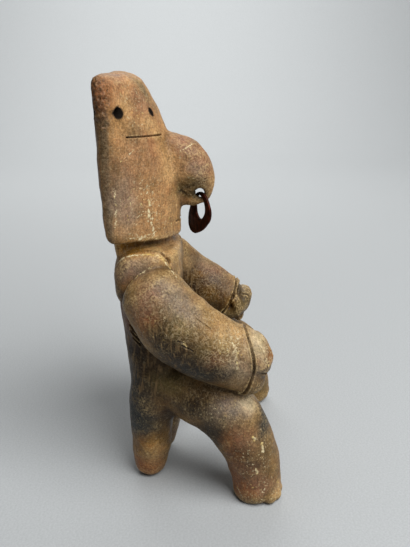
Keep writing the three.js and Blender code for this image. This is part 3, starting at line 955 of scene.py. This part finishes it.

# Crusts left by the ground: streaks run down the right cheek, others cross the nose and the right limbs, where those
# on the right front shin are also painted glints. Each is (points front to back and up as seen from the right,
# width, strength).
crusts = [
    ([(21.7, 155), (21.5, 150.6)], 0.8, 0.72),
    ([(21.2, 148.6), (20.8, 145.4)], 1.2, 0.8),
    ([(21.4, 143.6), (21, 140.6)], 1.6, 0.78),
    ([(20.6, 139.4), (20.2, 136)], 1.2, 0.76),
    ([(19.8, 134.8), (19.7, 131.6)], 2.4, 0.72),
    ([(25.4, 131.2), (22.6, 131.4)], 1.2, 0.8),
    ([(17.8, 152), (17.6, 146)], 0.6, 0.66),
    ([(17.4, 143), (17.2, 137)], 0.6, 0.64),
    ([(24.6, 146), (24.4, 136)], 0.5, 0.62),
    ([(31.6, 166), (29, 167.6), (26.6, 169.8)], 0.8, 0.76),
    ([(20.4, 150), (19.6, 142), (20, 133)], 0.8, 0.66),
    ([(26.4, 150), (25.4, 138)], 0.7, 0.62),
    ([(34.4, 155), (34, 146), (34.6, 139)], 1.5, 0.68),
    ([(32.4, 152), (32, 144)], 0.9, 0.6),
    ([(29, 132.6), (23, 132), (19, 132.6)], 0.9, 0.74),
    ([(26, 135.4), (21, 134.8)], 0.7, 0.66),
    ([(29.6, 166), (27, 160)], 0.6, 0.7),
    ([(33, 163), (27, 162)], 0.7, 0.6),
    ([(12, 166), (11.4, 158)], 0.6, 0.6),
    ([(10.8, 156), (9.6, 140)], 1.0, 0.64),
    ([(12.6, 150), (12, 134)], 0.6, 0.56),
    ([(7.6, 167), (2.4, 169.6)], 0.5, 0.9),
    ([(7.8, 163.6), (7.2, 168)], 0.5, 0.8),
    ([(27, 178.4), (8, 177.2)], 0.4, 0.5),
    ([(27, 173.8), (8, 172.6)], 0.5, 0.6),
    ([(9, 150), (7, 145)], 0.9, 0.66),
    ([(6, 148), (2, 144.6)], 0.9, 0.66),
    ([(-14.6, 92), (-17, 86), (-17.6, 79)], 1.8, 0.7),
    ([(-9, 93), (-13, 85)], 1.5, 0.62),
    ([(5.8, 93), (4.6, 90.6)], 0.9, 0.8),
    ([(-27, 88), (-30.4, 83), (-31.6, 78)], 1.3, 0.7),
    ([(-15, 66.4), (-19, 63.6)], 1.1, 0.74),
    # Painted glints as well as crust down the right front shin.
    ([(-25.4, 42.4), (-26.2, 40.6)], 1.5, 0.86),
    ([(-29.8, 38), (-30.6, 33)], 1.3, 0.84),
    ([(-27.4, 24), (-28, 20.6)], 1.3, 0.84),
    ([(-23, 31), (-23.4, 28)], 0.7, 0.75),
    ([(-30.4, 32), (-31, 26)], 0.6, 0.75),
    ([(-19, 9), (-21.8, 4.6)], 1.4, 0.72),
    ([(-38.6, 14), (-39.6, 8)], 1.2, 0.72),
    ([(-6, 58), (-12, 52)], 0.5, 0.7),
    ([(-8, 54), (-13, 48)], 0.45, 0.66),
    ([(-3, 56), (-7, 50)], 0.4, 0.6),
]
crusts = [([(-70, *point) for point in points], (1, 0, 0), width, strength) for points, width, strength in crusts]
# More of them line the right cap and arm, the lip below the face and the wrists. Along the cap's rim, the arm's top
# edge and the wrists they are painted highlights on the lit edges as well as crust.
arm_edge = [(31.7, 108.6), (30.7, 111.2), (29.1, 113.8), (25.9, 116.8), (22.3, 119.6), (20.1, 120.8)]
for x_seen, points, width, strength in ((-28, cap_rim, 1.1, 0.8), (-34, arm_edge, 1.1, 0.76)):
    fine = line_through([(0, *point) for point in points], 1.2)[:, 1:]
    crusts.append((from_right(x_seen, fine), None, width, strength))
crusts.append(([(-24, 22, 140), (-16, 14.6, 140), (-8, 9.4, 140)], (0, 0, -1), 0.5, 0.8))
for line in wrists:
    crusts.append(([tuple(Vector(spot) + Vector((0, 1.3, 0.3))) for spot in line], None, 0.5, 0.8))
crust = np.zeros(len(spots))
for points, towards, width, strength in crusts:
    if towards:
        points = on_skin([tuple(point) for point in line_through(points, 1.5)], towards)
    if len(points) > 1:
        gap = distance_to(spots, line_through(points), 4 * width)
        crust = np.maximum(crust, strength * np.exp(-((gap / width) ** 2)))
# Loose flecks of crust, then fine crazing, each in soft patches.
flecks = np.zeros(len(spots))
for middle, radius, strength in (
    ((-40, -14, 88), (14, 10, 9), 0.8),
    ((-36, -30, 82), (12, 9, 9), 1.0),
    ((-44, 16, 100), (12, 12, 14), 0.25),
    ((-24, 22, 142), (12, 12, 16), 0.8),
    ((-40, -10, 54), (12, 14, 8), 0.3),
    ((-46, -32, 8), (14, 12, 9), 1.0),
    ((-44, -26, 30), (10, 9, 16), 0.6),
    ((-4, 2, 150), (8, 9, 8), 0.7),
    ((-20, 24, 190), (14, 10, 12), 0.5),
):
    flecks = np.maximum(flecks, strength * soft_ball(spots, middle, radius))
crazed = 0.2 * ramp(z, 100, 125) + 0.06
for middle, radius, strength in (
    ((-48, -2, 98), (14, 16, 8), 0.75),
    ((-46, -14, 88), (14, 14, 10), 1.0),
    ((-48, -16, 76), (14, 9, 7), 0.5),
    ((-44, 18, 108), (12, 12, 10), 0.5),
    ((-40, -28, 82), (12, 9, 9), 0.8),
    ((-6, 3, 149), (9, 9, 6), 0.5),
    ((-36, 0, 62), (12, 20, 4), 0.4),
    ((24, -6, 92), (12, 16, 12), 0.5),
):
    crazed = np.maximum(crazed, strength * soft_ball(spots, middle, radius))
paint("crazed", crazed * unsmoked)
paint("crust", crust)
paint("flecked", 0.12 + 0.88 * flecks)


def new_material(name):
    """A material of that name, its node tree and its shader."""
    made = bpy.data.materials.new(name)
    made.use_nodes = True
    return made, made.node_tree, made.node_tree.nodes["Principled BSDF"]


clay, tree, shader = new_material("burnished_earthenware")


def node(kind, settings=None, links=None):
    """Adds a node, gives it its settings, and fills each named socket with a value or another node's output."""
    made = tree.nodes.new("ShaderNode" + kind)
    for name, value in (settings or {}).items():
        setattr(made, name, value)
    for socket, value in (links or {}).items():
        if isinstance(value, bpy.types.NodeSocket):
            tree.links.new(value, made.inputs[socket])
        else:
            made.inputs[socket].default_value = value
    return made.outputs


on_clay = node("TexCoord")["Object"]
painted = {
    name: node("Attribute", {"attribute_type": "GEOMETRY", "attribute_name": name})["Fac"]
    for name in ("crease_shade_and_dirt", "ridge", "underside_shade", "scraped", "hole", "crust", "flecked", "crazed")
}
MIX = {"data_type": "RGBA", "blend_type": "MIX"}
TIMES = {"data_type": "RGBA", "blend_type": "MULTIPLY"}
skin = node("Attribute", {"attribute_type": "GEOMETRY", "attribute_name": "firing"})["Color"]

# Mottling of 5 mm, the clay's grit at 1 mm and its finest grain at 0.5 mm.
mottle = node("TexNoise", {}, {"Vector": on_clay, "Scale": 190, "Detail": 4, "Roughness": 0.6})["Fac"]
grit = node("TexNoise", {}, {"Vector": on_clay, "Scale": 1000, "Detail": 2, "Roughness": 0.6})["Fac"]
grain = node("TexNoise", {}, {"Vector": on_clay, "Scale": 2100, "Detail": 1, "Roughness": 0.5})["Fac"]

MIDDLE_RANGE = {"From Min": 0.3, "From Max": 0.7}
for pattern, darkest, palest in ((mottle, 0.74, 1.24), (grit, 0.7, 1.24), (grain, 0.8, 1.18)):
    shade = node("MapRange", {}, {"Value": pattern, **MIDDLE_RANGE, "To Min": darkest, "To Max": palest})[0]
    skin = node("Mix", TIMES, {0: 1.0, 6: skin, 7: shade})[2]

# Reddish and greenish drifts a centimetre wide in the firing, then upright strokes of the burnishing pebble.
drift = node("TexNoise", {}, {"Vector": on_clay, "Scale": 110, "Detail": 3, "Roughness": 0.65})["Fac"]
redder = node("MapRange", {}, {"Value": drift, "From Min": 0.52, "From Max": 0.7, "To Max": 0.3})[0]
skin = node("Mix", TIMES, {0: redder, 6: skin, 7: colour("D89A84")})[2]
greener = node("MapRange", {}, {"Value": drift, "From Min": 0.48, "From Max": 0.34, "To Max": 0.4})[0]
skin = node("Mix", TIMES, {0: greener, 6: skin, 7: colour("B0AE84")})[2]
upright = node("Mapping", {}, {"Vector": on_clay, "Scale": (1, 1, 0.14)})[0]
brushed = node("TexNoise", {}, {"Vector": upright, "Scale": 1500, "Detail": 1})["Fac"]
shade = node("MapRange", {}, {"Value": brushed, **MIDDLE_RANGE, "To Min": 0.8, "To Max": 1.18})[0]
skin = node("Mix", TIMES, {0: 0.8, 6: skin, 7: shade})[2]

# Upright scrape marks on the body let the paler clay through.
scrape = node("TexNoise", {}, {"Vector": upright, "Scale": 700, "Detail": 2})["Fac"]
scrape = node("MapRange", {}, {"Value": scrape, "From Min": 0.52, "From Max": 0.72})[0]
scrape = node("Math", {"operation": "MULTIPLY"}, {0: scrape, 1: painted["scraped"]})[0]
skin = node("Mix", MIX, {0: scrape, 6: skin, 7: colour("7C6240")})[2]

# Raised skin is rubbed back to the paler clay.
worn = node("MapRange", {}, {"Value": grit, "From Min": 0.4, "From Max": 0.65, "To Max": 0.6})[0]
worn = node("Math", {"operation": "MULTIPLY"}, {0: worn, 1: painted["ridge"]})[0]
skin = node("Mix", MIX, {0: worn, 6: skin, 7: colour("CDB07C")})[2]

# Painted shade and dirt darken the creases, and painted shade darkens the underside.
dirt_and_shade = node("Math", {"operation": "MULTIPLY"}, {0: painted["crease_shade_and_dirt"], 1: 0.7})[0]
skin = node("Mix", MIX, {0: dirt_and_shade, 6: skin, 7: colour("2E1E0C")})[2]
dirt_and_shade = node("Math", {"operation": "MULTIPLY"}, {0: painted["underside_shade"], 1: 0.45})[0]
skin = node("Mix", MIX, {0: dirt_and_shade, 6: skin, 7: colour("2E2110")})[2]

# Pale slip lines: the burnish is crazed into short wandering lines half a millimetre wide, drawn here at 0.7.
winding = node("TexNoise", {}, {"Vector": on_clay, "Scale": 520, "Detail": 1, "Roughness": 0.5})["Fac"]
winding = node("Math", {"operation": "SUBTRACT"}, {0: winding, 1: 0.5})[0]
winding = node("Math", {"operation": "ABSOLUTE"}, {0: winding})[0]
crazed = node("MapRange", {}, {"Value": winding, "From Min": 0.0, "From Max": 0.05, "To Min": 0.6, "To Max": 0})[0]
crazed = node("Math", {"operation": "MULTIPLY"}, {0: crazed, 1: painted["crazed"]})[0]
skin = node("Mix", MIX, {0: crazed, 6: skin, 7: colour("C8B08A")})[2]

# Cream crust holds on in specks a millimetre across, closely along the painted streaks.
specks = node("TexNoise", {}, {"Vector": on_clay, "Scale": 800, "Detail": 2, "Roughness": 0.7})["Fac"]
sparse = node("MapRange", {}, {"Value": specks, "From Min": 0.6, "From Max": 0.68})[0]
sparse = node("Math", {"operation": "MULTIPLY"}, {0: sparse, 1: painted["flecked"]})[0]
dense = node("Math", {"operation": "ADD"}, {0: specks, 1: painted["crust"]})[0]
dense = node("MapRange", {}, {"Value": dense, "From Min": 1.12, "From Max": 1.3})[0]
crusted = node("Math", {"operation": "MAXIMUM"}, {0: sparse, 1: dense})[0]
yellower = node("MapRange", {}, {"Value": drift, "From Min": 0.48, "From Max": 0.62})[0]
crust_colour = node("Mix", MIX, {0: yellower, 6: colour("DCCBA2"), 7: colour("CFAE5C")})[2]
skin = node("Mix", MIX, {0: crusted, 6: skin, 7: crust_colour})[2]
# Painted shade and dirt inside the holes and drawn lines.
skin = node("Mix", MIX, {0: painted["hole"], 6: skin, 7: colour("150F09")})[2]
tree.links.new(skin, shader.inputs["Base Color"])

sheen = node("MapRange", {}, {"Value": mottle, **MIDDLE_RANGE, "To Min": 0.34, "To Max": 0.58})[0]
sheen = node("Math", {"operation": "MAXIMUM"}, {0: sheen, 1: painted["hole"]})[0]
tree.links.new(sheen, shader.inputs["Roughness"])
shader.inputs["IOR"].default_value = 1.45
shader.inputs["Specular IOR Level"].default_value = 0.22
height = node("Math", {"operation": "MULTIPLY_ADD"}, {0: grit, 1: 0.8, 2: mottle})[0]
height = node("Math", {"operation": "MULTIPLY_ADD"}, {0: crusted, 1: 0.25, 2: height})[0]
relief = node("Bump", {}, {"Height": height, "Strength": 0.9, "Distance": 0.0005})["Normal"]
tree.links.new(relief, shader.inputs["Normal"])

figure.data.materials.clear()
figure.data.materials.append(clay)
take_up(figure)
bpy.ops.object.shade_smooth()
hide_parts("clay_figure")
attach(figure, "root")


# The nose ring: a flat drop-shaped ring cut from sheet metal 1.2 mm thick, narrow where it goes through the
# nose and broad below, its edges filed round. It hangs loose and tipped, its lower end towards the left.
RING_TURN = math.radians(33)
RING_HANGS_FROM = (0, -1, 146.5)
outer_edge = [(0, 0.1), (-4.4, -0.7), (-8.4, -5.4), (-9.4, -10.2), (-5.6, -15.6), (0.8, -20), (5.6, -21.3)]
outer_edge += [(9.2, -19.4), (10.1, -15), (8.8, -9.6), (5, -3.2)]
opening = [(0, -1.5), (-3.1, -3.2), (-4.9, -8), (-3.6, -11), (-0.6, -12.9), (1.9, -11.6), (3, -8.6), (2.4, -3.8)]
bpy.ops.object.select_all(action="DESELECT")
bpy.ops.curve.primitive_bezier_curve_add(location=(0, 0, 0))
ring = bpy.context.object
ring.name = "nose_ring_surface"
sheet = ring.data
sheet.dimensions = "2D"
sheet.fill_mode = "BOTH"
sheet.resolution_u = 10
sheet.splines.remove(sheet.splines[0])
for outline in (outer_edge, opening):
    edge = sheet.splines.new("BEZIER")
    edge.use_cyclic_u = True
    edge.bezier_points.add(len(outline) - 1)
    for knot, (across, rise) in zip(edge.bezier_points, outline):
        knot.handle_left_type = knot.handle_right_type = "AUTO"
        knot.co = (across * 0.001, rise * 0.001, 0)
sheet.extrude = 0.00025
sheet.bevel_depth = 0.00035
sheet.bevel_resolution = 3
sheet.offset = -0.00035
ring.rotation_euler = (math.radians(90), 0, RING_TURN)
ring.location = place(*RING_HANGS_FROM)
bpy.ops.object.convert(target="MESH")
ring = bpy.context.object
bpy.ops.object.transform_apply(location=True, rotation=True, scale=True)
start_editing()
bpy.ops.mesh.remove_doubles(threshold=0.00001)
end_editing()
bpy.ops.object.shade_smooth_by_angle(angle=math.radians(35))

# Copper alloy gone almost black, with red cuprite showing through: dull, and metallic only where handled.
metal, tree, shader = new_material("oxidised_copper_alloy")
on_metal = node("TexCoord")["Object"]
tarnish = node("TexNoise", {}, {"Vector": on_metal, "Scale": 420, "Detail": 4, "Roughness": 0.65})["Fac"]
redness = node("MapRange", {}, {"Value": tarnish, "From Min": 0.4, "From Max": 0.66})[0]
oxide = node("Mix", MIX, {0: redness, 6: colour("25120B"), 7: colour("4E1F12")})[2]
tree.links.new(oxide, shader.inputs["Base Color"])
dullness = node("MapRange", {}, {"Value": tarnish, **MIDDLE_RANGE, "To Min": 0.62, "To Max": 0.4})[0]
tree.links.new(dullness, shader.inputs["Roughness"])
shader.inputs["Metallic"].default_value = 0.85
pits = node("Bump", {}, {"Height": tarnish, "Strength": 0.5, "Distance": 0.0002})["Normal"]
tree.links.new(pits, shader.inputs["Normal"])
ring.data.materials.clear()
ring.data.materials.append(metal)
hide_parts("nose_ring")
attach(ring, "root")


# The floor and what stands behind: one pale sheet of paper that curves up into a backdrop.
bpy.ops.object.select_all(action="DESELECT")
bpy.ops.mesh.primitive_plane_add(size=3, location=(0, 0, 0))
floor = bpy.context.object
floor.name = "floor"
start_editing()
bpy.ops.transform.translate(value=(-0.6, 0, 0))
pick(lambda p: p.x > 0)
for turn in range(9, 91, 9):
    a, b = math.radians(turn - 9), math.radians(turn)
    move = (0.5 * (math.sin(b) - math.sin(a)), 0, 0.5 * (math.cos(a) - math.cos(b)))
    bpy.ops.mesh.extrude_region_move(TRANSFORM_OT_translate={"value": move})
bpy.ops.mesh.extrude_region_move(TRANSFORM_OT_translate={"value": (0, 0, 1.5)})
bpy.ops.object.mode_set(mode="OBJECT")
bpy.ops.object.shade_smooth()
paper, tree, shader = new_material("pale_paper")
fibres = node("TexNoise", {}, {"Vector": node("TexCoord")["Object"], "Scale": 1000, "Detail": 2})["Fac"]
fibres = node("MapRange", {}, {"Value": fibres, **MIDDLE_RANGE, "To Min": 0.93, "To Max": 1.07})[0]
tone = node("Mix", TIMES, {0: 1.0, 6: colour("B1B4B5"), 7: fibres})[2]
tree.links.new(tone, shader.inputs["Base Color"])
shader.inputs["Roughness"].default_value = 0.9
floor.data.materials.append(paper)


# Soft light: a large panel above the figure, to its right and in front, another on the backdrop, and a dim
# even room.
def panel(name, spot, aim, size, watts):
    bpy.ops.object.light_add(type="AREA", location=spot)
    lamp = bpy.context.object
    lamp.name = name
    lamp.data.size = size
    lamp.data.energy = watts
    lamp.rotation_euler = (Vector(aim) - Vector(spot)).to_track_quat("-Z", "Y").to_euler()


panel("overhead_panel", (-0.45, -0.4, 0.9), (0, 0, 0.08), 0.7, 13.5)
panel("backdrop_panel", (0.8, 0.1, 1.0), (1.4, 0.1, 0.1), 0.8, 12)

world = bpy.data.worlds.new("studio")
bpy.context.scene.world = world
world.use_nodes = True
room = world.node_tree.nodes["Background"]
room.inputs["Color"].default_value = colour("E6E7E8")
room.inputs["Strength"].default_value = 0.13
